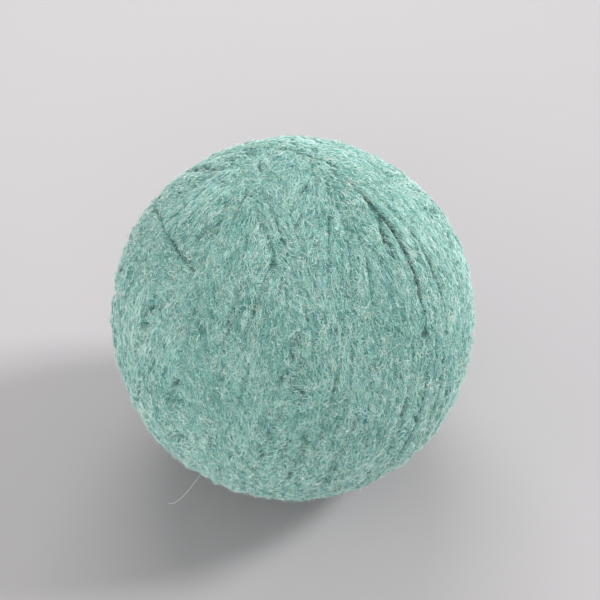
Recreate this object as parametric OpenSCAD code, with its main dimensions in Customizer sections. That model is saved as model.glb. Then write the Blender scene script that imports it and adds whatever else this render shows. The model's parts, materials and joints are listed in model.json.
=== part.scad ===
// Wound and felted wool dryer ball.
// A starter bundle is wound into a core, the core is felted, and a second length
// of yarn is wound over it in bands that lie on great circles and turn to a new
// direction each time. Every band is a closed ring: a later band presses the
// earlier ones down where it crosses them. The finished ball is felted again.
// The origin is the middle of the flat patch that the ball rests on.

/* [Ball] */
// Diameter of the finished ball
ball_d = 70; // [68:1:80]
// Diameter of the pressed flat patch that the ball rests on
rest_d = 14; // [10:1:16]

/* [Core] */
// Diameter of the felted core
core_d = 53; // [46:1:54]
// Thickness of the skin that the first felting makes on the core
core_skin_t = 2; // [1:0.5:3]

/* [Starter bundle] */
// Length of the folded bundle that the winding starts on
starter_len = 20; // [19:1:22]
// Thickness of each end of the folded bundle
starter_d = 10; // [9:0.5:10]
// Thickness of the bundle at its tied waist
waist_d = 6; // [5:0.5:6.5]
// Width of the wraps that tie the waist
waist_w = 5; // [4:0.5:6]

/* [Outer winding] */
// How deep each later band presses the bands under it
band_step = 0.35; // [0.25:0.05:0.4]
// Width of every band, as a share of its usual width
band_spread = 1; // [1:0.05:1.1]

/* [Tail] */
// Thickness of the yarn
yarn_d = 2; // [1.6:0.1:2.4]
// Part of a circle that the drawn-in end of the yarn runs along, in degrees
tail_sweep = 45; // [20:5:70]

/* [Hidden] */

// Each band, first wound to last wound: the bearing and the height of its pole,
// and half of its width, all in degrees seen from the middle of the ball
FIRST_WIDE = [344, 36, 23];
SECOND_WIDE = [100, 55, 22];
THIRD_WIDE = [-2, -50, 23.7];
FOURTH_WIDE = [39.5, 5, 21.5];
NAPE = [62, 38.5, 11];
LOW = [12, -48, 10];
SHOULDER = [110.5, -4, 12.5];
CREASE = [28, 49, 6];
LEFT_RIM = [128, 16, 9];
LEFT_FACE = [-24, 4, 9.5];
DIAGONAL = [-17.5, -13.5, 9.5];
CROSSING = [15, 10, 4.5];
LEFT_MIDDLE = [6.5, -15, 8.4];
MIDDLE = [17, -16, 7];
RIGHT_MIDDLE = [28, -17, 8.5];
RIGHT_EDGE = [48.5, -17, 6];
FAR_RIGHT = [60, -19.5, 8];
BANDS = [
    FIRST_WIDE, SECOND_WIDE, THIRD_WIDE, FOURTH_WIDE, NAPE, LOW, SHOULDER, CREASE,
    LEFT_RIM, LEFT_FACE, DIAGONAL, CROSSING, LEFT_MIDDLE, MIDDLE, RIGHT_MIDDLE,
    RIGHT_EDGE, FAR_RIGHT
];

$fn = 120;
ball_r = ball_d / 2;
core_r = core_d / 2;
// Height of the middle of the ball over the surface that it rests on
centre_h = sqrt(pow(ball_r, 2) - pow(rest_d / 2, 2));
// Anything that cuts the ball reaches past it by this much
past = 5;
// The first core layer closes over the starter, and three more share the room
// between it and the skin
kernel_r = starter_len / 2 + 1;
layer_t = (core_r - core_skin_t - kernel_r) / 3;
// The tail runs midway through the under layer
bands_floor_r = ball_r - len(BANDS) * band_step;
tail_r = (core_r + bands_floor_r) / 2;
tail_d = min(yarn_d, bands_floor_r - core_r - 0.4);

// Colours of the heathered yarn
SEAFOAM = "#82ADA4";
MINT = "#96BDB4";
TEAL = "#6C9F98";
UNDYED = "#E6E0D2";
OATMEAL = "#D8CFBC";

// What is inside the ball stands about the ball's middle
module at_centre() {
    translate([0, 0, centre_h])
        children();
}

// Everything above the surface that the ball rests on
module above_rest() {
    translate([-ball_r - past, -ball_r - past, 0])
        cube([2 * (ball_r + past), 2 * (ball_r + past), 2 * ball_r + past]);
}

// A hollow sphere from one radius out to another
module shell(inner_r, outer_r) {
    difference() {
        sphere(r = outer_r);
        sphere(r = inner_r);
    }
}

// How far out a band's underside lies: each later band lies higher
function band_floor_r(i) = ball_r - (len(BANDS) - i) * band_step;

// The space that a band may take, from its underside out to a radius
module band_zone(i, outer_r) {
    pole = BANDS[i];
    half_w = ball_r * sin(pole[2] * band_spread);
    intersection() {
        shell(band_floor_r(i), outer_r);
        rotate([0, 90 - pole[1], pole[0]])
            cylinder(r = outer_r + past, h = 2 * half_w, center = true);
    }
}

// One band of wraps: a closed ring, pressed down under each later band
module band(i) {
    intersection() {
        at_centre()
            difference() {
                band_zone(i, ball_r);
                for (later = [i + 1:1:len(BANDS) - 1])
                    band_zone(later, ball_r + past / 2);
            }
        above_rest();
    }
}

// The folded bundle: two round ends and a thin waist
module bundle_shape() {
    end_x = (starter_len - starter_d) / 2;
    for (side = [-1, 1])
        translate([side * end_x, 0, 0])
            sphere(d = starter_d);
    rotate([0, 90, 0])
        cylinder(d = waist_d, h = 2 * end_x, center = true);
}

// The room that the waist wraps fill between the bundle's two ends
module waist_room() {
    rotate([0, 90, 0])
        cylinder(d = starter_d - 1, h = waist_w, center = true);
}

// The end of the yarn, drawn in under the wraps on a darning needle
module tail_shape() {
    rotate([0, 0, 160])
        rotate_extrude(angle = tail_sweep)
            translate([tail_r, 0])
                circle(d = tail_d);
}

module starter_bundle() {
    color(UNDYED)
        at_centre()
            bundle_shape();
}

module starter_waist_wraps() {
    color(OATMEAL)
        at_centre()
            difference() {
                waist_room();
                bundle_shape();
            }
}

// The first layer closes over the starter and fills every hollow round it
module core_first_layer() {
    color(UNDYED)
        at_centre()
            difference() {
                sphere(r = kernel_r);
                bundle_shape();
                waist_room();
            }
}

// A full layer of the core, counted from the kernel outwards
module core_layer(i) {
    at_centre()
        shell(kernel_r + (i - 1) * layer_t, kernel_r + i * layer_t);
}

module core_second_layer() {
    color(OATMEAL)
        core_layer(1);
}

module core_third_layer() {
    color(UNDYED)
        core_layer(2);
}

module core_fourth_layer() {
    color(OATMEAL)
        core_layer(3);
}

module core_felted_skin() {
    color(UNDYED)
        at_centre()
            shell(core_r - core_skin_t, core_r);
}

// The coloured yarn's first wraps, all round the core and under every band
module outer_under_layer() {
    color(TEAL)
        at_centre()
            difference() {
                shell(core_r, bands_floor_r);
                tail_shape();
            }
}

module drawn_in_tail() {
    color(SEAFOAM)
        at_centre()
            tail_shape();
}

module first_wide_band() {
    color(TEAL)
        band(0);
}

module second_wide_band() {
    color(SEAFOAM)
        band(1);
}

module third_wide_band() {
    color(MINT)
        band(2);
}

module fourth_wide_band() {
    color(TEAL)
        band(3);
}

module nape_band() {
    color(SEAFOAM)
        band(4);
}

module low_band() {
    color(TEAL)
        band(5);
}

module shoulder_band() {
    color(SEAFOAM)
        band(6);
}

module crease_band() {
    color(TEAL)
        band(7);
}

module left_rim_band() {
    color(MINT)
        band(8);
}

module left_face_band() {
    color(SEAFOAM)
        band(9);
}

module diagonal_band() {
    color(MINT)
        band(10);
}

module crossing_band() {
    color(TEAL)
        band(11);
}

module left_middle_band() {
    color(SEAFOAM)
        band(12);
}

module middle_band() {
    color(TEAL)
        band(13);
}

module right_middle_band() {
    color(SEAFOAM)
        band(14);
}

module right_edge_band() {
    color(TEAL)
        band(15);
}

module far_right_band() {
    color(MINT)
        band(16);
}

starter_bundle();
starter_waist_wraps();
core_first_layer();
core_second_layer();
core_third_layer();
core_fourth_layer();
core_felted_skin();
outer_under_layer();
drawn_in_tail();
first_wide_band();
second_wide_band();
third_wide_band();
fourth_wide_band();
nape_band();
low_band();
shoulder_band();
crease_band();
left_rim_band();
left_face_band();
diagonal_band();
crossing_band();
left_middle_band();
middle_band();
right_middle_band();
right_edge_band();
far_right_band();
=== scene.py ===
"""The looks of a felted wool dryer ball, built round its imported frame.

The ball is wound from heathered yarn in seventeen bands, each a closed ring of wraps
that presses the earlier ones down, and then felted until short curly fibres cover it.
"""

import json
import logging
import math
from dataclasses import dataclass, field
from enum import Enum

import bpy
import numpy as np
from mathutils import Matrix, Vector


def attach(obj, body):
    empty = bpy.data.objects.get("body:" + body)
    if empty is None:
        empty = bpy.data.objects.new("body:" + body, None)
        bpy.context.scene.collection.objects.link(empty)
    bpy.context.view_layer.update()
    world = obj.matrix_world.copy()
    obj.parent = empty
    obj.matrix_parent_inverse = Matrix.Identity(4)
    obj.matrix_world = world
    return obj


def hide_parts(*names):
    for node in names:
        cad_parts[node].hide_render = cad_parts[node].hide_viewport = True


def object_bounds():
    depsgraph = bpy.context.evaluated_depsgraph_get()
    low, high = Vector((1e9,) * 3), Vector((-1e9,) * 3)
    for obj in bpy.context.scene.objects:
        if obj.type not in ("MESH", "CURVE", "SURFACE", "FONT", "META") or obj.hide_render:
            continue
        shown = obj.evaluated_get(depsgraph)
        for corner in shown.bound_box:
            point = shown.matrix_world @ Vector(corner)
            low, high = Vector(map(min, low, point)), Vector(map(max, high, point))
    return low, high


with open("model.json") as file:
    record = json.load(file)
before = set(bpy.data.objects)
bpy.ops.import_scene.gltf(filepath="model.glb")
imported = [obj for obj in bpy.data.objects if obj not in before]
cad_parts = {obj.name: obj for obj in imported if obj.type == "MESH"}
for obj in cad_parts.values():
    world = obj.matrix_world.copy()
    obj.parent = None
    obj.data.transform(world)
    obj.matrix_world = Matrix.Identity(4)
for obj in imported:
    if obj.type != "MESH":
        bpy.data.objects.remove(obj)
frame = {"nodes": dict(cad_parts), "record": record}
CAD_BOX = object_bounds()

log = logging.getLogger("dryer_ball")

MM = 0.001
VALLEY_SHADE = "valley"


# ---------------------------------------------------------------- colours and nodes


def linear(hex_colour: str, alpha: float = 1.0) -> tuple[float, float, float, float]:
    """Turns an sRGB hex colour into the linear one that a shader takes.

    Args:
        hex_colour: the colour, as "#RRGGBB".
        alpha: how solid it is.

    Returns:
        Red, green, blue and alpha, linear.
    """
    parts = [int(hex_colour[i : i + 2], 16) / 255 for i in (1, 3, 5)]
    rgb = [c / 12.92 if c <= 0.04045 else ((c + 0.055) / 1.055) ** 2.4 for c in parts]
    return (rgb[0], rgb[1], rgb[2], alpha)


def add_node(tree: bpy.types.NodeTree, kind: str, settings: dict | None = None,
             values: dict | None = None, links: dict | None = None) -> bpy.types.Node:
    """Adds one node with its settings, its plain values and what feeds it.

    Args:
        tree: the material's node tree.
        kind: the node's type.
        settings: properties of the node itself.
        values: input name or number to the value it is set to.
        links: input name or number to the output socket that feeds it.

    Returns:
        The new node.
    """
    node = tree.nodes.new(kind)
    for name, value in (settings or {}).items():
        setattr(node, name, value)
    for name, value in (values or {}).items():
        node.inputs[name].default_value = value
    for name, socket in (links or {}).items():
        tree.links.new(socket, node.inputs[name])
    return node


def blank_material(name: str) -> tuple[bpy.types.Material, bpy.types.NodeTree]:
    """A new material with an empty node tree, and that tree."""
    material = bpy.data.materials.new(name)
    material.use_nodes = True
    material.node_tree.nodes.clear()
    return material, material.node_tree


class Shade(Enum):
    """The dyed shades of fibre that the heathered yarn is spun from."""

    PALE_MINT = "#D5EAE3"
    MINT = "#B9DCD3"
    SEAFOAM = "#9CCAC0"
    SAGE = "#ABCDBB"
    TEAL = "#72ADA2"
    BLUE_TEAL = "#8BBEC2"
    DEEP_TEAL = "#3F7F78"
    STRAW = "#DADBBA"


@dataclass(frozen=True)
class FibreFinish:
    """Dyed wool fibre: one shade from end to end, scaly, so it scatters light softly.

    Wool is dyed in the fleece and then blended, so a fibre is a single colour and the
    heather comes from the mix. Its scales give a broad, weak gloss, and where they
    stand open the fibre looks paler, which the uneven sheen gives.

    Attributes:
        shade: the colour it is dyed.
        roughness: how broad its gloss is.
        scale_patch_mm: the size of a stretch whose scales stand alike.
    """

    shade: Shade
    roughness: float = 0.7
    scale_patch_mm: float = 0.5

    def make(self) -> bpy.types.Material:
        """Builds the material.

        Returns:
            The material, with its colour set on the shader itself.
        """
        material, tree = blank_material("wool_fibre_" + self.shade.name.lower())
        place = add_node(tree, "ShaderNodeTexCoord").outputs["Object"]
        scales = add_node(tree, "ShaderNodeTexNoise", values={
            "Scale": 1 / (self.scale_patch_mm * MM), "Detail": 2.0},
            links={"Vector": place})
        open_scales = add_node(tree, "ShaderNodeMapRange", values={
            "From Min": 0.35, "From Max": 0.65, "To Min": 0.02, "To Max": 0.28},
            links={"Value": scales.outputs[0]})
        shader = add_node(tree, "ShaderNodeBsdfPrincipled", values={
            "Base Color": linear(self.shade.value), "Roughness": self.roughness,
            "IOR": 1.55, "Specular IOR Level": 0.3, "Sheen Roughness": 0.5,
            "Sheen Tint": linear("#EEF6F2")},
            links={"Sheen Weight": open_scales.outputs[0]})
        add_node(tree, "ShaderNodeOutputMaterial", links={"Surface": shader.outputs[0]})
        material.diffuse_color = linear(self.shade.value)
        return material


@dataclass(frozen=True)
class FeltGround:
    """Matted wool under the loose fibres, felted by hot water and rubbing.

    The fibres lock into a dull mat: no gloss, painted shade in the gaps between pale
    curled fibres and in the valleys between strands, and broad bluish patches where one
    shade was carded thicker.

    Attributes:
        name: the material's name.
        gap_shade: the colour of the painted shade between fibres, where the mat's noise runs low.
        mat: the colour of the matted fibres.
        curl: the colour of the fibres that curl over the mat.
        blue: the colour of the bluish patches.
        valley_shade_colour: the colour of the painted shade in the valleys between strands and in
            the clefts beside deep bands.
        curl_mm: the size of a curl.
        mat_mm: the size of the mat's clumps.
        patch_mm: the size of a bluish patch.
        raised_mm: how far the curled fibres stand up.
    """

    name: str
    # painted shade between the fibres
    gap_shade: str = "#2A5C57"
    mat: str = "#5EA095"
    curl: str = "#A6D3CA"
    blue: str = "#5C9CA3"
    # painted shade for the valleys between strands and the clefts
    valley_shade_colour: str = "#163A37"
    curl_mm: float = 0.9
    mat_mm: float = 1.2
    patch_mm: float = 14.0
    raised_mm: float = 0.12

    def curls(self, tree: bpy.types.NodeTree, place: bpy.types.NodeSocket, size_mm: float,
              thickness: float) -> bpy.types.NodeSocket:
        """Thin curly lines, which are the level lines of a noise.

        Args:
            tree: the material's node tree.
            place: where on the ball.
            size_mm: the size of a curl.
            thickness: how thick the lines are, as a share of the noise's range.

        Returns:
            The output that is 1 on a line and 0 off it.
        """
        noise = add_node(tree, "ShaderNodeTexNoise", values={
            "Scale": 1 / (size_mm * MM), "Detail": 1.0, "Roughness": 0.5},
            links={"Vector": place})
        folded = add_node(tree, "ShaderNodeMath", {"operation": "PINGPONG"}, {1: 0.07},
                          {0: noise.outputs[0]})
        line = add_node(tree, "ShaderNodeMapRange", {"interpolation_type": "SMOOTHSTEP"}, {
            "From Min": 0.0, "From Max": thickness, "To Min": 1.0, "To Max": 0.0},
            {"Value": folded.outputs[0]})
        return line.outputs[0]

    def make(self) -> bpy.types.Material:
        """Builds the material.

        Returns:
            The material.
        """
        material, tree = blank_material(self.name)
        place = add_node(tree, "ShaderNodeTexCoord").outputs["Object"]
        large = self.curls(tree, place, self.curl_mm, 0.035)
        turned = add_node(tree, "ShaderNodeMapping", values={"Rotation": (0.7, 1.9, 0.4)},
                          links={"Vector": place})
        small = self.curls(tree, turned.outputs[0], self.curl_mm * 0.6, 0.035)
        fibres = add_node(tree, "ShaderNodeMath", {"operation": "MAXIMUM"}, {},
                          {0: large, 1: small})
        patches = add_node(tree, "ShaderNodeTexNoise", values={
            "Scale": 1 / (self.patch_mm * MM), "Detail": 2.0},
            links={"Vector": place})
        share = add_node(tree, "ShaderNodeMapRange", values={
            "From Min": 0.45, "From Max": 0.75, "To Max": 0.6},
            links={"Value": patches.outputs[0]})
        mat = add_node(tree, "ShaderNodeTexNoise", values={
            "Scale": 1 / (self.mat_mm * MM), "Detail": 3.0}, links={"Vector": place})
        depth = add_node(tree, "ShaderNodeMapRange", values={
            "From Min": 0.38, "From Max": 0.62}, links={"Value": mat.outputs[0]})
        # Painted shade: where the mat's noise runs low, the felt takes the dark colour of the gaps
        # between fibres
        under = add_node(tree, "ShaderNodeMix", {"data_type": "RGBA"}, {
            "A": linear(self.gap_shade), "B": linear(self.mat)}, {"Factor": depth.outputs[0]})
        blue = add_node(tree, "ShaderNodeMix", {"data_type": "RGBA"},
                        {"B": linear(self.blue)},
                        {"Factor": share.outputs[0], "A": under.outputs[2]})
        colour = add_node(tree, "ShaderNodeMix", {"data_type": "RGBA"},
                          {"B": linear(self.curl)},
                          {"Factor": fibres.outputs[0], "A": blue.outputs[2]})
        # Painted shade: the mesh's shade mask darkens the valleys between the strands and the
        # clefts beside deep bands
        valley = add_node(tree, "ShaderNodeAttribute", {"attribute_name": VALLEY_SHADE})
        valley_shade_colour = add_node(tree, "ShaderNodeMix", {"data_type": "RGBA"},
                          {"B": linear(self.valley_shade_colour)},
                          {"Factor": valley.outputs["Fac"], "A": colour.outputs[2]})
        bump = add_node(tree, "ShaderNodeBump", values={
            "Strength": 0.9, "Distance": self.raised_mm * MM},
            links={"Height": fibres.outputs[0]})
        shader = add_node(tree, "ShaderNodeBsdfPrincipled", values={
            "Roughness": 0.95, "IOR": 1.55, "Specular IOR Level": 0.15,
            "Sheen Weight": 0.08, "Sheen Roughness": 0.6,
            "Sheen Tint": linear("#EEF6F2")},
            links={"Base Color": valley_shade_colour.outputs[2], "Normal": bump.outputs[0]})
        add_node(tree, "ShaderNodeOutputMaterial", links={"Surface": shader.outputs[0]})
        material.diffuse_color = linear(self.mat)
        return material


@dataclass(frozen=True)
class CoreWool:
    """Undyed or dyed yarn wound plain, as on the layers inside the ball.

    The wraps lie side by side, which gives round ridges a yarn apart with a soft,
    dull surface and a little colour change from the fleece.

    Attributes:
        name: the material's name.
        colour: the yarn's colour on its crests.
        shadow: its colour between two wraps.
        yarn_mm: from one wrap to the next.
        turn: how the wraps' direction is turned about x, y and z, in radians.
    """

    name: str
    colour: str
    shadow: str
    yarn_mm: float = 2.0
    turn: tuple[float, float, float] = (0.0, 0.0, 0.0)

    def make(self) -> bpy.types.Material:
        """Builds the material.

        Returns:
            The material.
        """
        material, tree = blank_material(self.name)
        place = add_node(tree, "ShaderNodeTexCoord").outputs["Object"]
        turned = add_node(tree, "ShaderNodeMapping", values={"Rotation": self.turn},
                          links={"Vector": place})
        # Blender's wave repeats every 2 pi / 20 of a unit at scale 1
        wraps = add_node(tree, "ShaderNodeTexWave", {"wave_profile": "SIN"}, {
            "Scale": math.tau / 20 / (self.yarn_mm * MM), "Distortion": 1.5,
            "Detail": 2.0, "Detail Scale": 1.5}, {"Vector": turned.outputs[0]})
        fleece = add_node(tree, "ShaderNodeTexNoise", values={
            "Scale": 900.0, "Detail": 4.0}, links={"Vector": place})
        depth = add_node(tree, "ShaderNodeMath", {"operation": "MULTIPLY"},
                         links={0: wraps.outputs["Fac"], 1: fleece.outputs[0]})
        share = add_node(tree, "ShaderNodeMapRange", values={"From Max": 0.6},
                         links={"Value": depth.outputs[0]})
        colour = add_node(tree, "ShaderNodeMix", {"data_type": "RGBA"}, {
            "A": linear(self.shadow), "B": linear(self.colour)},
            {"Factor": share.outputs[0]})
        bump = add_node(tree, "ShaderNodeBump", values={
            "Strength": 0.8, "Distance": 0.5 * MM}, links={"Height": depth.outputs[0]})
        shader = add_node(tree, "ShaderNodeBsdfPrincipled", values={
            "Roughness": 0.92, "IOR": 1.55, "Specular IOR Level": 0.2,
            "Sheen Weight": 0.3, "Sheen Roughness": 0.5},
            links={"Base Color": colour.outputs[2], "Normal": bump.outputs[0]})
        add_node(tree, "ShaderNodeOutputMaterial", links={"Surface": shader.outputs[0]})
        material.diffuse_color = linear(self.colour)
        return material


@dataclass(frozen=True)
class PaperSweep:
    """Matte pale grey paper under the ball, uncoated, with the faintest tooth."""

    colour: str = "#ADABAD"
    tooth: str = "#AAA8A9"

    def make(self) -> bpy.types.Material:
        """Builds the material.

        Returns:
            The material.
        """
        material, tree = blank_material("paper_sweep")
        place = add_node(tree, "ShaderNodeTexCoord").outputs["Object"]
        grain = add_node(tree, "ShaderNodeTexNoise", values={"Scale": 60.0},
                         links={"Vector": place})
        share = add_node(tree, "ShaderNodeMapRange", values={
            "To Min": 0.35, "To Max": 0.65}, links={"Value": grain.outputs[0]})
        colour = add_node(tree, "ShaderNodeMix", {"data_type": "RGBA"}, {
            "A": linear(self.colour), "B": linear(self.tooth)},
            {"Factor": share.outputs[0]})
        shader = add_node(tree, "ShaderNodeBsdfPrincipled", values={
            "Roughness": 0.9, "Specular IOR Level": 0.2},
            links={"Base Color": colour.outputs[2]})
        add_node(tree, "ShaderNodeOutputMaterial", links={"Surface": shader.outputs[0]})
        return material


# ---------------------------------------------------------------- shapes


def unit(v: np.ndarray) -> np.ndarray:
    """Rows of v at length 1."""
    return v / np.linalg.norm(v, axis=-1, keepdims=True)


def smooth_step(x: np.ndarray) -> np.ndarray:
    """0 below 0, 1 above 1, and an even curve between."""
    x = np.clip(x, 0.0, 1.0)
    return x * x * (3 - 2 * x)


class Ripples:
    """Even random variation over the ball, summed from waves in random directions."""

    def __init__(self, seed: int, wave_mm: float, count: int = 18) -> None:
        """Draws the waves.

        Args:
            seed: the draw's seed.
            wave_mm: the usual distance from crest to crest.
            count: how many waves are summed.
        """
        draw = np.random.default_rng(seed)
        ways = unit(draw.normal(size=(count, 3)))
        lengths = wave_mm * draw.uniform(0.7, 1.4, count)
        self.ways = ways * (math.tau / lengths)[:, None]
        self.starts = draw.uniform(0, math.tau, count)

    def at(self, places_mm: np.ndarray) -> np.ndarray:
        """The variation at each place, about -2 to 2 with a spread of 1."""
        total = np.zeros(len(places_mm))
        for way, start in zip(self.ways, self.starts):
            total += np.cos(places_mm @ way + start)
        return total * math.sqrt(2 / len(self.starts))


@dataclass(frozen=True)
class WrapLook:
    """How the wraps of one band lie.

    Attributes:
        depth_mm: how deep the valleys between its strands are.
        bite_mm: how deep it presses what it crosses.
        wander: how far a strand strays sideways, as a share of the strands' spacing.
        free_edge: 1 or -1 where only the edge on that side of its middle bites, the
            upper side being 1; 0 where both do.
        held_mm: how deep the other edge presses then.
    """

    depth_mm: float = 0.5
    bite_mm: float = 0.6
    wander: float = 0.4
    free_edge: int = 0
    held_mm: float = 0.3

    def bite(self, share: np.ndarray) -> np.ndarray:
        """How deep it presses at each place across it.

        Args:
            share: where the place lies, from -1 at the lower edge to 1 at the upper.

        Returns:
            The depth in mm.
        """
        if not self.free_edge:
            return np.full(len(share), self.bite_mm)
        deeper = self.bite_mm - self.held_mm
        return self.held_mm + deeper * smooth_step(0.5 + self.free_edge * share)


WRAP_LOOKS = {
    "nape_band": WrapLook(0.5),
    "shoulder_band": WrapLook(0.8, 0.6, 0.5),
    "crease_band": WrapLook(0.5, 2.2, 0.5, free_edge=1),
    "left_rim_band": WrapLook(0.6, 0.45),
    "left_face_band": WrapLook(0.65, 0.3),
    "diagonal_band": WrapLook(0.75, 0.45, 0.5),
    "crossing_band": WrapLook(0.5, 0.25),
    "left_middle_band": WrapLook(0.8, 0.5),
    "middle_band": WrapLook(0.85, 0.5, 0.5),
    "right_middle_band": WrapLook(0.85, 0.6, 0.5),
    "right_edge_band": WrapLook(0.7, 1.4),
    "far_right_band": WrapLook(0.6, 0.9),
}


@dataclass
class Band:
    """One band of wraps round the ball, as a ring about its own pole.

    Attributes:
        node: the CAD node that the band stands for.
        slot: the record's material slot.
        look: how its wraps lie.
        pole: the direction that the ring turns about.
        half: half of its width seen from the ball's middle, in radians.
        floor_mm: how far out its underside lies, which gives the winding order.
        ball_r: the ball's radius in mm.
        pitch_mm: from one strand to the next.
        strand_r_mm: half of a strand's width.
        stray_rise_mm: how far a strand rises and sinks along its way.
        ply_mm: from one ply to the next along a strand.
        ply_rise_mm: how far the plies stand out.
        flank: how steeply a strand falls away past its own width.
        blend_mm: how softly two strands meet.
    """

    node: str
    slot: str
    look: WrapLook
    pole: np.ndarray
    half: float
    floor_mm: float
    ball_r: float
    pitch_mm: float = 1.75
    strand_r_mm: float = 1.12
    stray_rise_mm: float = 0.11
    ply_mm: float = 3.4
    ply_rise_mm: float = 0.07
    flank: float = 3.0
    blend_mm: float = 0.07

    @classmethod
    def measured(cls, node: bpy.types.Object, slot: str, middle: Vector,
                 ball_r: float) -> "Band":
        """Reads a band's place from its CAD solid.

        Args:
            node: the CAD node.
            slot: its material slot.
            middle: the ball's middle, in metres.
            ball_r: the ball's radius in mm.

        Returns:
            The band.
        """
        mesh = node.data
        corners = np.empty(len(mesh.vertices) * 3)
        mesh.vertices.foreach_get("co", corners)
        corners = (corners.reshape(-1, 3) - np.array(middle)) / MM
        centres = np.empty(len(mesh.polygons) * 3)
        mesh.polygons.foreach_get("center", centres)
        centres = (centres.reshape(-1, 3) - np.array(middle)) / MM
        areas = np.empty(len(mesh.polygons))
        mesh.polygons.foreach_get("area", areas)
        floor = np.linalg.norm(corners, axis=1).min()
        # The underside is a whole ring, whatever crosses the band further out
        flatness_mm = 0.1
        inside = np.linalg.norm(centres, axis=1) < floor + flatness_mm
        ring = centres[inside]
        spread = (ring * areas[inside, None]).T @ ring
        pole = np.linalg.eigh(spread)[1][:, 0]
        pole = -pole if pole[2] < 0 else pole
        half = math.asin(np.abs(corners @ pole).max() / ball_r)
        return cls(node.name, slot, WRAP_LOOKS.get(node.name, WrapLook()), pole, half,
                   floor, ball_r)

    def lay_strands(self, order: int) -> None:
        """Draws how each strand strays sideways and rises along its way round.

        Args:
            order: the band's place in the winding.
        """
        draw = np.random.default_rng(400 + order)
        start = np.array([0.0, 0.0, 1.0]) if abs(self.pole[2]) < 0.9 else np.array([1.0, 0, 0])
        self.east = unit(np.cross(start, self.pole))
        self.north = np.cross(self.pole, self.east)
        width = 2 * self.half * self.ball_r
        self.count = max(2, round(width / self.pitch_mm))
        self.spacing = width / self.count
        self.turns = np.array([1, 2, 3, 5, 8])
        share = np.array([0.5, 0.5, 0.6, 0.5, 0.35])
        size = (self.count, len(self.turns))
        self.side_size = draw.normal(size=size) * share * self.look.wander * self.spacing
        self.side_start = draw.uniform(0, math.tau, size)
        self.rise_size = draw.normal(size=size) * share * self.stray_rise_mm
        self.rise_start = draw.uniform(0, math.tau, size)
        self.ply_start = draw.uniform(0, math.tau, self.count)

    def directions(self, lon: np.ndarray, lat: np.ndarray) -> np.ndarray:
        """Directions from the ball's middle at those places on the band."""
        flat = np.cos(lon)[:, None] * self.east + np.sin(lon)[:, None] * self.north
        return np.cos(lat)[:, None] * flat + np.sin(lat)[:, None] * self.pole

    def longitude(self, d: np.ndarray) -> np.ndarray:
        """How far round the band each direction lies, in radians."""
        return np.arctan2(d @ self.north, d @ self.east)

    def relief(self, d: np.ndarray, lat: np.ndarray, matted: np.ndarray) -> np.ndarray:
        """Height of the strands over the band's level, which is 0 at their crests.

        Args:
            d: directions from the ball's middle.
            lat: how far each lies from the band's middle line, in radians.
            matted: 0 where the strands stand free, 1 where felting has closed them.

        Returns:
            The height of each place, in mm.
        """
        lon = self.longitude(d)
        waves_at = lon[:, None] * self.turns
        across = lat * self.ball_r
        depth = self.look.depth_mm * (1 - 0.45 * matted)
        nearest = np.round(across / self.spacing + (self.count - 1) / 2).astype(int)
        total = np.zeros(len(d))
        for step in (-2, -1, 0, 1, 2):
            i = np.clip(nearest + step, 0, self.count - 1)
            real = (nearest + step >= 0) & (nearest + step < self.count)
            side = (i - (self.count - 1) / 2) * self.spacing
            side = side + (self.side_size[i] * np.cos(waves_at + self.side_start[i])).sum(1)
            rise = (self.rise_size[i] * np.cos(waves_at + self.rise_start[i])).sum(1)
            x = (across - side) / self.strand_r_mm
            # The plies' twist shows as low, slanting swellings
            ply = lon * self.ball_r * math.tau / self.ply_mm + 2.4 * x + self.ply_start[i]
            dome = np.sqrt(np.clip(1 - x * x, 0, 1)) - 1
            low = np.clip(np.abs(x) - 1, 0, None)
            flank = depth * dome - self.flank * low
            crest = rise + self.ply_rise_mm * np.cos(ply) * (1 - matted) + flank
            total += np.where(real, np.exp(np.clip(crest / self.blend_mm, -60, 20)), 0)
        return self.blend_mm * np.log(total + 1e-26)


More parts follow.
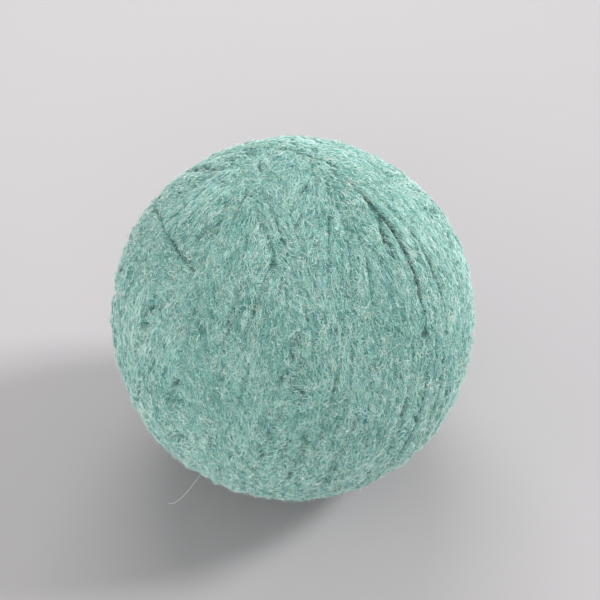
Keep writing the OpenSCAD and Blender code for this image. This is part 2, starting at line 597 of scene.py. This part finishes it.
@dataclass
class Winding:
    """The whole outside of the ball: its bands in the order they are wound.

    Attributes:
        bands: the bands, first wound to last wound.
        radius_mm: the ball's radius.
        centre_mm: the height of the ball's middle.
        lip_mm: how far past a band's edge the wraps under it slope down.
        skin_mm: the thickness of a band's own wool.
        under_mm: how far the crests lie under the ball's full radius, which is the
            depth of the coat of loose fibres.
        rest_gap_mm: how far the wool stays off the floor.
        lump_mm: the height of the ball's broad lumps.
        dent_mm: the height of its smaller dents.
        tuft_mm: the height of its tufts.
        nap_mm: the height of the mat's coarse and fine nap.
        cleft_mm: how far a cleft reaches out from the edge that makes it.
        cleft_wander_mm: how far that reach varies.
    """

    bands: list[Band]
    radius_mm: float
    centre_mm: float
    lip_mm: float = 1.1
    skin_mm: float = 0.6
    under_mm: float = 0.25
    rest_gap_mm: float = 0.05
    lump_mm: float = 0.22
    dent_mm: float = 0.07
    tuft_mm: float = 0.08
    nap_mm: tuple[float, float] = (0.045, 0.035)
    cleft_mm: float = 1.1
    cleft_wander_mm: float = 0.3

    def __post_init__(self) -> None:
        """Gives the bands their order and draws the ball's own unevenness."""
        self.bands.sort(key=lambda band: band.floor_mm)
        for i, band in enumerate(self.bands):
            band.lay_strands(i)
        self.poles = np.array([b.pole for b in self.bands])
        self.halves = np.array([b.half for b in self.bands])
        self.lumps = Ripples(11, 34.0)
        self.dents = Ripples(12, 9.0)
        self.tufts = Ripples(16, 3.2, 26)
        self.matting = Ripples(13, 16.0)
        self.nap = Ripples(14, 1.5, 26)
        self.fine_nap = Ripples(15, 0.75, 30)

    def latitudes(self, d: np.ndarray) -> np.ndarray:
        """How far each direction lies from each band's middle line, in radians."""
        return np.arcsin(np.clip(d @ self.poles.T, -1, 1))

    def matted(self, d: np.ndarray) -> np.ndarray:
        """How far felting has closed the strands at each direction, 0 to 1."""
        return smooth_step(0.45 + 0.45 * self.matting.at(d * self.radius_mm))

    def unevenness(self, d: np.ndarray) -> np.ndarray:
        """The ball's own lumps and dents, in mm."""
        at = d * self.radius_mm
        broad = self.lump_mm * self.lumps.at(at) + self.dent_mm * self.dents.at(at)
        return broad + self.tuft_mm * self.tufts.at(at)

    def roughness(self, d: np.ndarray) -> np.ndarray:
        """The nap that felting raises on the mat, in mm."""
        at = d * self.radius_mm
        coarse, fine = self.nap_mm
        return coarse * self.nap.at(at) + fine * self.fine_nap.at(at)

    def level(self, i: int, d: np.ndarray, lats: np.ndarray) -> np.ndarray:
        """Radius of band i's crests, pressed down under the later bands, in mm."""
        inside = (self.halves - np.abs(lats)) * self.radius_mm
        pressed = np.zeros(len(d))
        for j in range(i + 1, len(self.bands)):
            near = smooth_step((inside[:, j] + self.lip_mm) / (self.lip_mm + 0.5))
            pressed += self.bands[j].look.bite(lats[:, j] / self.halves[j]) * near
        return self.radius_mm - self.under_mm - pressed

    def bare(self, d: np.ndarray, band: np.ndarray) -> np.ndarray:
        """How far each direction lies in a cleft beside a band that bites deep.

        Args:
            d: directions from the ball's middle.
            band: the number of the band that is there.

        Returns:
            1 in a cleft, where few fibres show and the felt gets painted shade, and 0 away from
            them.
        """
        lats = self.latitudes(d)
        inside = (self.halves - np.abs(lats)) * self.radius_mm
        reach = self.cleft_mm + self.cleft_wander_mm * self.tufts.at(d * self.radius_mm)
        share = np.zeros(len(d))
        for j, other in enumerate(self.bands):
            if other.look.bite_mm > 1:
                deep = other.look.bite(lats[:, j] / self.halves[j]) > 1
                close = smooth_step((inside[:, j] + reach) / 0.5) * deep
                share = np.maximum(share, close * (band < j) * (inside[:, j] < 0.6))
        return share

    def band_top(self, i: int, d: np.ndarray, lats: np.ndarray,
                 matted: np.ndarray) -> np.ndarray:
        """Radius of band i's surface with its strands, in mm."""
        return self.level(i, d, lats) + self.bands[i].relief(d, lats[:, i], matted)

    def surface(self, d: np.ndarray) -> tuple[np.ndarray, np.ndarray, np.ndarray]:
        """The ball's outside along each direction.

        Args:
            d: directions from the ball's middle.

        Returns:
            The radius in mm, the number of the band on top there, and the radius of
            that band's crests.
        """
        lats = self.latitudes(d)
        matted = self.matted(d)
        radius = np.full(len(d), self.radius_mm - 5.0)
        crest = radius.copy()
        top = np.zeros(len(d), int)
        for i in range(len(self.bands)):
            edge = self.halves[i] + self.bands[i].strand_r_mm / self.radius_mm
            near = np.nonzero(np.abs(lats[:, i]) < edge)[0]
            here = self.band_top(i, d[near], lats[near], matted[near])
            higher = here > radius[near]
            radius[near[higher]] = here[higher]
            crest[near[higher]] = self.level(i, d[near[higher]], lats[near[higher]])
            top[near[higher]] = i
        bumps = self.unevenness(d)
        return radius + bumps, top, crest + bumps

    def stand(self, d: np.ndarray, radius: np.ndarray) -> np.ndarray:
        """Points at that radius, in metres in the row frame, flattened on the floor."""
        points = d * radius[:, None]
        points[:, 2] += self.centre_mm
        points[:, 2] = np.maximum(points[:, 2], self.rest_gap_mm)
        return points * MM


def mesh_object(name: str, points: np.ndarray, faces: np.ndarray,
                materials: list[bpy.types.Material], which: np.ndarray | None = None,
                smooth: bool = True) -> bpy.types.Object:
    """Makes a mesh object from arrays.

    Args:
        name: the piece's name.
        points: one row of x, y, z per vertex, in metres.
        faces: one row of vertex numbers per face, all with as many corners.
        materials: the materials of its slots.
        which: the slot of each face, or None for the first.
        smooth: whether its faces are shaded smooth.

    Returns:
        The object, linked to the scene.
    """
    corners = faces.shape[1]
    mesh = bpy.data.meshes.new(name)
    mesh.vertices.add(len(points))
    mesh.vertices.foreach_set("co", points.astype(np.float32).ravel())
    mesh.loops.add(faces.size)
    mesh.loops.foreach_set("vertex_index", faces.astype(np.int32).ravel())
    mesh.polygons.add(len(faces))
    mesh.polygons.foreach_set("loop_start", np.arange(0, faces.size, corners, dtype=np.int32))
    for material in materials:
        mesh.materials.append(material)
    if which is not None:
        mesh.polygons.foreach_set("material_index", which.astype(np.int32))
    mesh.update(calc_edges=True)
    mesh.polygons.foreach_set("use_smooth", np.full(len(faces), smooth))
    obj = bpy.data.objects.new(name, mesh)
    bpy.context.scene.collection.objects.link(obj)
    return obj


@dataclass
class BandWool:
    """The matted wool of one band: a closed ring with its strands as real ridges.

    Attributes:
        winding: the wraps that it is part of.
        number: the band's number in the winding.
        step_mm: from one vertex to the next.
        wide_step: how many times that on the wide bands, which lie deepest.
        wide_half: from what half width on a band is wide, in radians.
        slack_mm: how far the wool may sink below its valleys.
    """

    winding: Winding
    number: int
    step_mm: float = 0.34
    wide_step: float = 1.3
    wide_half: float = 0.3
    slack_mm: float = 0.2

    def build(self, material: bpy.types.Material) -> bpy.types.Object:
        """Builds the ring.

        Args:
            material: the felt.

        Returns:
            The piece.
        """
        band = self.winding.bands[self.number]
        reach = self.winding.halves[self.number] + 0.9 * band.strand_r_mm / band.ball_r
        step = self.step_mm * (self.wide_step if band.half > self.wide_half else 1.0)
        around = round(math.tau * band.ball_r / step)
        across = round(2 * reach * band.ball_r / step) + 1
        lon = np.repeat(np.arange(around) * math.tau / around, across)
        lat = np.tile(np.linspace(-reach, reach, across), around)
        d = band.directions(lon, lat)
        lats = self.winding.latitudes(d)
        top = self.winding.band_top(self.number, d, lats, self.winding.matted(d))
        level = self.winding.level(self.number, d, lats)
        past = np.clip((np.abs(lat) - band.half) * band.ball_r + self.slack_mm, 0, None)
        lowest = level - band.look.depth_mm - self.slack_mm - band.flank * past
        top = np.maximum(top, lowest)
        bumps = self.winding.unevenness(d)
        outer = self.winding.stand(d, top + self.winding.roughness(d) + bumps)
        outer = outer.reshape(around, across, 3)
        under = lowest + bumps - self.winding.skin_mm
        under_at = [across - 1, across // 2, 0]
        inner = self.winding.stand(d, under).reshape(around, across, 3)[:, under_at]
        section = np.concatenate([outer, inner], axis=1)
        loop = section.shape[1]
        i, j = np.meshgrid(np.arange(around), np.arange(loop), indexing="ij")
        ni, nj = (i + 1) % around, (j + 1) % loop
        faces = np.stack([i * loop + j, ni * loop + j, ni * loop + nj, i * loop + nj],
                         axis=-1).reshape(-1, 4)
        piece = mesh_object(band.node + "_wool", section.reshape(-1, 3), faces, [material])
        # Painted shade mask for the felt: the clefts beside deep-biting bands and the deep valleys
        # between strands are darkened
        cleft = self.winding.bare(d, np.full(len(d), self.number))
        sunk = smooth_step((level - top - 0.4) / 0.5)
        valley = np.zeros((around, loop))
        valley[:, :across] = np.maximum(0.8 * cleft, 0.65 * sunk).reshape(around, across)
        piece.data.attributes.new(VALLEY_SHADE, "FLOAT", "POINT").data.foreach_set(
            "value", valley.astype(np.float32).ravel())
        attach(piece, "root")
        return piece


def sweep(at: np.ndarray, out: np.ndarray, size: np.ndarray, closed: bool,
          sides: int = 3) -> tuple[np.ndarray, np.ndarray]:
    """Turns paths into thin tubes.

    Args:
        at: the paths, as (fibre, point, xyz).
        out: the outward direction at each point.
        size: the radius at each point.
        closed: whether the tubes have undersides and ends; those that lie on the ball
            need none, because nothing sees them from below.
        sides: how many sides a tube has.

    Returns:
        The vertices as (fibre, vertex, xyz), and one fibre's triangles.
    """
    ahead = unit(np.gradient(at, axis=1) + 1e-12)
    across = unit(np.cross(ahead, out))
    up = np.cross(across, ahead)
    rings = []
    for s in range(sides):
        a = math.tau * s / sides + math.pi / 2
        rings.append(at + size[..., None] * (math.cos(a) * across + math.sin(a) * up))
    tube = np.stack(rings, axis=2).reshape(len(at), -1, 3)
    tube[..., 2] = np.maximum(tube[..., 2], 0.0)
    points = at.shape[1]
    faces = []
    for k in range(points - 1):
        for s in range(sides):
            if s == sides // 2 and not closed:
                continue
            t = (s + 1) % sides
            a, b, c, e = k * sides + s, k * sides + t, (k + 1) * sides + t, (k + 1) * sides + s
            faces += [(a, c, b), (a, e, c)]
    if closed:
        last = (points - 1) * sides
        for s in range(1, sides - 1):
            faces += [(0, s, s + 1), (last, last + s + 1, last + s)]
    return tube, np.array(faces)


@dataclass
class FibreCoat:
    """The loose, curly fibres that felting leaves over the wraps.

    Attributes:
        winding: the wraps that they grow from.
        name: what this sort of fibre is called.
        count: how many there are on the whole ball.
        length_mm: shortest and longest.
        radius_mm: thinnest and thickest; real wool is 0.015, drawn thicker to show.
        stray_deg: how far they turn from the way the strand runs.
        curl_deg: how far a fibre turns from end to end.
        rise_mm: how high the middle of a fibre stands over the wraps.
        tip_mm: how high its free end stands.
        bridge: 0 where fibres follow the valleys between strands, 1 where they span
            from crest to crest.
        seed: the seed of its draw.
        lock: how many fibres cling together in a lock.
        mix: how much of each shade there is.
        shun: the share of fibres that the valleys between strands lack.
        worn: the share that is missing where the coat has worn thin.
        worn_patch_mm: the size of such a patch.
        lock_mm: how far the fibres of a lock lie apart.
        twist_deg: how far the yarn's own twist turns them.
        points: how many points a fibre's path has.
        closed: whether a fibre has an underside and ends.
        most_faces: how many faces one piece may have.
    """

    winding: Winding
    name: str
    count: int
    length_mm: tuple[float, float]
    radius_mm: tuple[float, float]
    stray_deg: float
    curl_deg: float
    rise_mm: tuple[float, float]
    tip_mm: tuple[float, float]
    bridge: float
    seed: int
    mix: dict[Shade, float] = field(default_factory=dict)
    lock: int = 1
    shun: float = 0.0
    worn: float = 0.0
    worn_patch_mm: float = 2.4
    lock_mm: float = 0.26
    twist_deg: float = 16.0
    points: int = 5
    closed: bool = False
    most_faces: int = 190_000

    def spread(self, draw: np.random.Generator, scatter: float) -> np.ndarray:
        """A random number for each fibre, much the same for all fibres of a lock."""
        shared = np.repeat(draw.normal(size=self.count // self.lock), self.lock)
        return shared + scatter * draw.normal(size=len(shared))

    def paths(self) -> tuple[np.ndarray, np.ndarray, np.ndarray]:
        """Draws every fibre's path.

        Returns:
            The points as (fibre, point, xyz) in metres, the outward direction at each
            point, and the band that each fibre grows from.
        """
        w = self.winding
        draw = np.random.default_rng(self.seed)
        d = np.repeat(unit(draw.normal(size=(self.count // self.lock, 3))), self.lock, axis=0)
        n = len(d)
        if self.lock > 1:
            d = unit(d + self.lock_mm / w.radius_mm * draw.normal(size=(n, 3)))
        ground, band, crest = w.surface(d)
        sunk = smooth_step((crest - ground - 0.25) / 0.4)
        patches = Ripples(self.seed * 3, self.worn_patch_mm, 26).at(d * w.radius_mm)
        worn = self.worn * (0.6 + 0.6 * w.matted(d)) * smooth_step(0.4 + 0.6 * patches)
        kept = draw.random(n) > np.maximum(0.95 * w.bare(d, band), self.shun * sunk + worn)
        along = unit(np.cross(w.poles[band], d))
        side = np.cross(d, along)
        # Where felting has gone furthest, the fibres have curled out of line
        loose = 0.55 + 0.95 * w.matted(d)
        stray = math.radians(self.stray_deg) * loose
        turn = math.radians(self.twist_deg) + stray * self.spread(draw, 0.4)
        turn += math.pi * draw.integers(0, 2, n)
        length = draw.uniform(*self.length_mm, n)
        curl = math.radians(self.curl_deg) * loose * self.spread(draw, 0.5)
        bend = math.radians(self.curl_deg) * 0.6 * loose * self.spread(draw, 0.5)
        rise = draw.uniform(*self.rise_mm, n)
        tip = draw.uniform(*self.tip_mm, n) * (draw.random(n) ** 2)
        step = length / (self.points - 1) / w.radius_mm
        ways = []
        for k in range(self.points):
            ways.append(d)
            u = k / (self.points - 1)
            angle = turn + curl * (u - 0.5) + bend * math.sin(math.tau * u)
            go = np.cos(angle)[:, None] * along + np.sin(angle)[:, None] * side
            d = unit(d + go * step[:, None])
            along = unit(along - d * np.sum(along * d, axis=1, keepdims=True))
            side = np.cross(d, along)
        ways = np.stack(ways, axis=1)
        for k in (self.points // 2, self.points - 1):
            kept &= draw.random(n) > 0.8 * w.bare(ways[:, k], band)
        flat = ways.reshape(-1, 3)
        ground, _, crest = w.surface(flat)
        base = ground + self.bridge * np.clip(crest - 0.12 - ground, 0, None)
        u = np.linspace(0, 1, self.points)
        high = rise[:, None] * np.sin(math.pi * u) + tip[:, None] * u ** 2 - 0.04
        radius = base.reshape(n, -1) + high
        at = w.stand(flat, radius.reshape(-1)).reshape(n, self.points, 3)
        return at[kept], ways[kept], band[kept]

    def shades(self, at: np.ndarray) -> np.ndarray:
        """Picks each fibre's shade, with one shade thicker here and another there."""
        draw = np.random.default_rng(self.seed + 1)
        chance = np.array(list(self.mix.values()))[None, :] * np.ones((len(at), 1))
        for k in range(len(self.mix)):
            broad = Ripples(97 + k, 13.0).at(at / MM)
            close = Ripples(self.seed * 7 + k, 2.2).at(at / MM)
            chance[:, k] *= np.exp(0.45 * broad + 0.6 * close)
        bins = np.cumsum(chance / chance.sum(1, keepdims=True), axis=1)
        return (draw.random(len(at))[:, None] > bins[:, :-1]).sum(1)

    def build(self, materials: dict[Shade, bpy.types.Material]) -> list[bpy.types.Object]:
        """Builds the fibres, as pieces that each belong to one band.

        Args:
            materials: the fibre material of each shade.

        Returns:
            The pieces.
        """
        at, out, band = self.paths()
        shade = self.shades(at[:, 0])
        draw = np.random.default_rng(self.seed + 2)
        thick = draw.uniform(*self.radius_mm, len(at)) * MM
        taper = np.interp(np.linspace(0, 1, self.points), [0, 0.25, 0.7, 1], [0.7, 1, 0.9, 0.3])
        tube, faces = sweep(at, out, thick[:, None] * taper, self.closed)
        pieces = []
        for i, b in enumerate(self.winding.bands):
            grown = np.nonzero(band == i)[0]
            parts = math.ceil(len(grown) * len(faces) / self.most_faces)
            for part, chosen in enumerate(np.array_split(grown, max(1, parts))):
                if not len(chosen):
                    continue
                starts = np.arange(len(chosen))[:, None, None] * tube.shape[1]
                piece = mesh_object(
                    f"{b.node}_{self.name}_{part + 1}", tube[chosen].reshape(-1, 3),
                    (faces[None] + starts).reshape(-1, 3),
                    [materials[s] for s in self.mix], np.repeat(shade[chosen], len(faces)))
                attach(piece, "root")
                pieces.append(piece)
        return pieces


@dataclass
class LooseHair:
    """One long hair that has come free low on the left and curls off the ball.

    Attributes:
        winding: the ball.
        bearing: where it leaves the ball, in degrees from +X.
        height: that place's height over the ball's middle, in degrees.
        bend_mm: where the point that its curve leans to lies from where it leaves.
        tip_mm: where its tip lies from where it leaves.
        thick_mm: its radius.
        buried_mm: how far its root lies in the wool.
    """

    winding: Winding
    bearing: float = -125.4
    height: float = -29.4
    bend_mm: tuple[float, float, float] = (-4.81, -4.68, -5.2)
    tip_mm: tuple[float, float, float] = (-6.6, -3.9, -4.4)
    thick_mm: float = 0.035
    buried_mm: float = 0.3

    def build(self, material: bpy.types.Material) -> bpy.types.Object:
        """Builds the hair.

        Args:
            material: the fibre material of its shade.

        Returns:
            The piece.
        """
        a, e = math.radians(self.bearing), math.radians(self.height)
        d = np.array([[math.cos(e) * math.cos(a), math.cos(e) * math.sin(a), math.sin(e)]])
        radius, _, _ = self.winding.surface(d)
        root = self.winding.stand(d, radius - self.buried_mm)[0]
        t = np.linspace(0, 1, 15)[:, None]
        bend, tip = np.array(self.bend_mm) * MM, np.array(self.tip_mm) * MM
        at = root + 2 * t * (1 - t) * bend + t ** 2 * tip
        out = np.repeat(d, len(at), axis=0)
        size = np.full((1, len(at)), self.thick_mm * MM)
        tube, faces = sweep(at[None], out[None], size, closed=True)
        piece = mesh_object("loose_hair", tube[0], faces, [material])
        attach(piece, "root")
        return piece


@dataclass
class InnerBall:
    """What the bands are wound over: the CAD's own solids, dressed as wound yarn."""

    nodes: dict[str, bpy.types.Object]

    def dress(self) -> None:
        """Gives each inner node the wool it is wound from."""
        undyed = ("#E6E0D2", "#B9AF9A")
        oatmeal = ("#D8CFBC", "#A79C84")
        dyed = (Shade.TEAL.value, Shade.DEEP_TEAL.value)
        looks = {
            "starter_bundle": (undyed, (0.0, 0.0, 0.4)),
            "starter_waist_wraps": (oatmeal, (0.0, 0.0, 1.57)),
            "core_first_layer": (undyed, (0.6, 0.2, 0.0)),
            "core_second_layer": (oatmeal, (0.0, 0.9, 0.5)),
            "core_third_layer": (undyed, (1.1, 0.0, 0.9)),
            "core_fourth_layer": (oatmeal, (0.3, 1.3, 0.0)),
            "core_felted_skin": (undyed, (0.9, 0.4, 1.2)),
            "outer_under_layer": (dyed, (0.2, 0.7, 0.3)),
            "drawn_in_tail": ((Shade.SEAFOAM.value, Shade.TEAL.value), (0.0, 0.0, 0.0)),
        }
        for name, ((colour, shadow), turn) in looks.items():
            mesh = self.nodes[name].data
            material = CoreWool("wound_" + name, colour, shadow, turn=turn).make()
            mesh.materials.clear()
            mesh.materials.append(material)
            log.info("dressed %s", name)


@dataclass
class Studio:
    """The pale floor, the soft light and the camera.

    Attributes:
        middle: the ball's middle, in metres.
        radius: the ball's radius, in metres.
        elevation_deg: how far above the horizon the camera looks from.
        distance_radii: how many radii away it stands.
        ball_share: the ball's radius, as a share of half of the view.
        aim_right: how far right of the ball it aims, as a share of half of the view.
        aim_up: how far above the ball it aims, likewise.
        floor_half: half of the floor's side, in metres.
    """

    middle: Vector
    radius: float
    elevation_deg: float = 42.0
    distance_radii: float = 8.0
    ball_share: float = 0.6067
    aim_right: float = 0.02
    aim_up: float = 0.06
    floor_half: float = 1.5

    def floor(self) -> None:
        """Lays the paper that the ball stands on."""
        half = self.floor_half
        corners = np.array([[-half, -half, 0], [half, -half, 0], [half, half, 0], [-half, half, 0]])
        sheet = mesh_object("floor", corners, np.array([[0, 1, 2, 3]]), [PaperSweep().make()],
                            smooth=False)

    def lights(self) -> None:
        """Hangs a window-like light at the right and a soft, bright room all round."""
        world = bpy.data.worlds.new("soft_room")
        world.use_nodes = True
        background = world.node_tree.nodes["Background"]
        background.inputs["Color"].default_value = linear("#F6F3F4")
        background.inputs["Strength"].default_value = 0.51
        bpy.context.scene.world = world
        self.area("window", bearing=11, height=35, distance=3.0, size=0.7, watts=79)
        self.area("back_panel", bearing=95, height=52, distance=0.45, size=0.3, watts=1.25)
        self.area("left_wall", bearing=200, height=14, distance=1.2, size=1.0, watts=6.0)
        self.area("front_wall", bearing=262, height=12, distance=1.3, size=1.2, watts=13.0)

    def area(self, name: str, bearing: float, height: float, distance: float, size: float,
             watts: float) -> None:
        """Adds one square light that faces the ball.

        Args:
            name: the light's name.
            bearing: where it stands round the ball, in degrees from +X.
            height: its angle over the horizon.
            distance: how far away it is, in metres.
            size: the length of its side, in metres.
            watts: its power.
        """
        a, e = math.radians(bearing), math.radians(height)
        lamp = bpy.data.lights.new(name, "AREA")
        lamp.size = size
        lamp.energy = watts
        obj = bpy.data.objects.new(name, lamp)
        back = Vector((math.cos(e) * math.cos(a), math.cos(e) * math.sin(a), math.sin(e)))
        obj.location = self.middle + back * distance
        obj.rotation_euler = back.to_track_quat("Z", "Y").to_euler()
        bpy.context.scene.collection.objects.link(obj)

    def camera(self) -> None:
        """Places the camera above and in front of the ball, at its own distance."""
        e = math.radians(self.elevation_deg)
        back = Vector((0, -math.cos(e), math.sin(e)))
        right = Vector((1, 0, 0))
        up = back.cross(right)
        distance = self.distance_radii * self.radius
        edge = math.tan(math.asin(1 / self.distance_radii))
        half_view = edge / self.ball_share
        data = bpy.data.cameras.new("camera")
        data.lens = data.sensor_width / 2 / half_view
        data.clip_start = 0.01
        camera = bpy.data.objects.new("camera", data)
        bpy.context.scene.collection.objects.link(camera)
        scale = half_view * distance
        aim = self.middle + right * (self.aim_right * scale) + up * (self.aim_up * scale)
        camera.location = self.middle + back * distance
        look = camera.location - aim
        camera.rotation_euler = look.to_track_quat("Z", "Y").to_euler()
        bpy.context.scene.camera = camera


def fibre_coats(winding: Winding) -> list[FibreCoat]:
    """The three sorts of loose fibre, from the closest lying to the furthest standing."""
    # Painted shade: the laid fibres, which lie lowest, take the darker shades and the curled fibres
    # over them the paler ones
    under = {Shade.SEAFOAM: 0.22, Shade.TEAL: 0.29, Shade.MINT: 0.1, Shade.DEEP_TEAL: 0.25,
             Shade.BLUE_TEAL: 0.08, Shade.SAGE: 0.06}
    heather = {Shade.PALE_MINT: 0.42, Shade.MINT: 0.27, Shade.SEAFOAM: 0.15, Shade.SAGE: 0.06,
               Shade.TEAL: 0.06, Shade.BLUE_TEAL: 0.06, Shade.STRAW: 0.01}
    laid = FibreCoat(
        winding, "laid_fibres", count=96000, length_mm=(1.6, 3.6), radius_mm=(0.035, 0.065),
        stray_deg=13, curl_deg=40, rise_mm=(0.03, 0.2), tip_mm=(0.0, 0.1), bridge=0.0,
        seed=21, mix=under, lock=6, shun=0.6, worn=0.45)
    curled = FibreCoat(
        winding, "curled_fibres", count=76000, length_mm=(1.0, 2.8), radius_mm=(0.028, 0.05),
        stray_deg=34, curl_deg=180, rise_mm=(0.06, 0.32), tip_mm=(0.0, 0.3), bridge=0.1,
        seed=31, mix=heather, lock=3, shun=0.7, worn=0.65)
    stray = FibreCoat(
        winding, "stray_fibres", count=8000, length_mm=(1.5, 4.5), radius_mm=(0.012, 0.022),
        stray_deg=90, curl_deg=120, rise_mm=(0.2, 0.7), tip_mm=(0.2, 1.3), bridge=1.0,
        seed=41, mix=heather, points=7, closed=True)
    return [laid, curled, stray]


def wound_ball(middle: Vector, radius: float) -> Winding:
    """Reads the bands from the frame.

    Args:
        middle: the ball's middle, in metres.
        radius: the ball's radius, in metres.

    Returns:
        The winding.
    """
    slots = {part["node"]: part["material_slot"] for part in frame["record"]["subparts"]}
    bands = [Band.measured(node, slots[name], middle, radius / MM)
             for name, node in frame["nodes"].items() if name.endswith("_band")]
    return Winding(bands, radius / MM, middle.z / MM)


def build() -> None:
    """Builds the ball's pieces in order, then the studio, and reports each piece."""
    low, high = CAD_BOX
    radius = (high.x - low.x) / 2
    middle = Vector((0, 0, high.z - radius))
    winding = wound_ball(middle, radius)
    felt = FeltGround("felted_wool").make()
    for i, band in enumerate(winding.bands):
        wool = BandWool(winding, i).build(felt)
        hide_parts(band.node)
        log.info("%s: pole %s, half %.1f deg, %d faces", wool.name, band.pole.round(3),
                 math.degrees(band.half), len(wool.data.polygons))
    fibres = {shade: FibreFinish(shade).make() for shade in Shade}
    for coat in fibre_coats(winding):
        for piece in coat.build(fibres):
            log.info("%s: %d faces", piece.name, len(piece.data.polygons))
    hair = LooseHair(winding).build(fibres[Shade.PALE_MINT])
    log.info("%s: %d faces", hair.name, len(hair.data.polygons))
    InnerBall(frame["nodes"]).dress()
    studio = Studio(middle, radius)
    studio.floor()
    studio.lights()
    studio.camera()
    bpy.context.scene.view_settings.view_transform = "Standard"


if __name__ == "__main__":
    logging.basicConfig(level=logging.INFO, format="%(message)s")
    build()
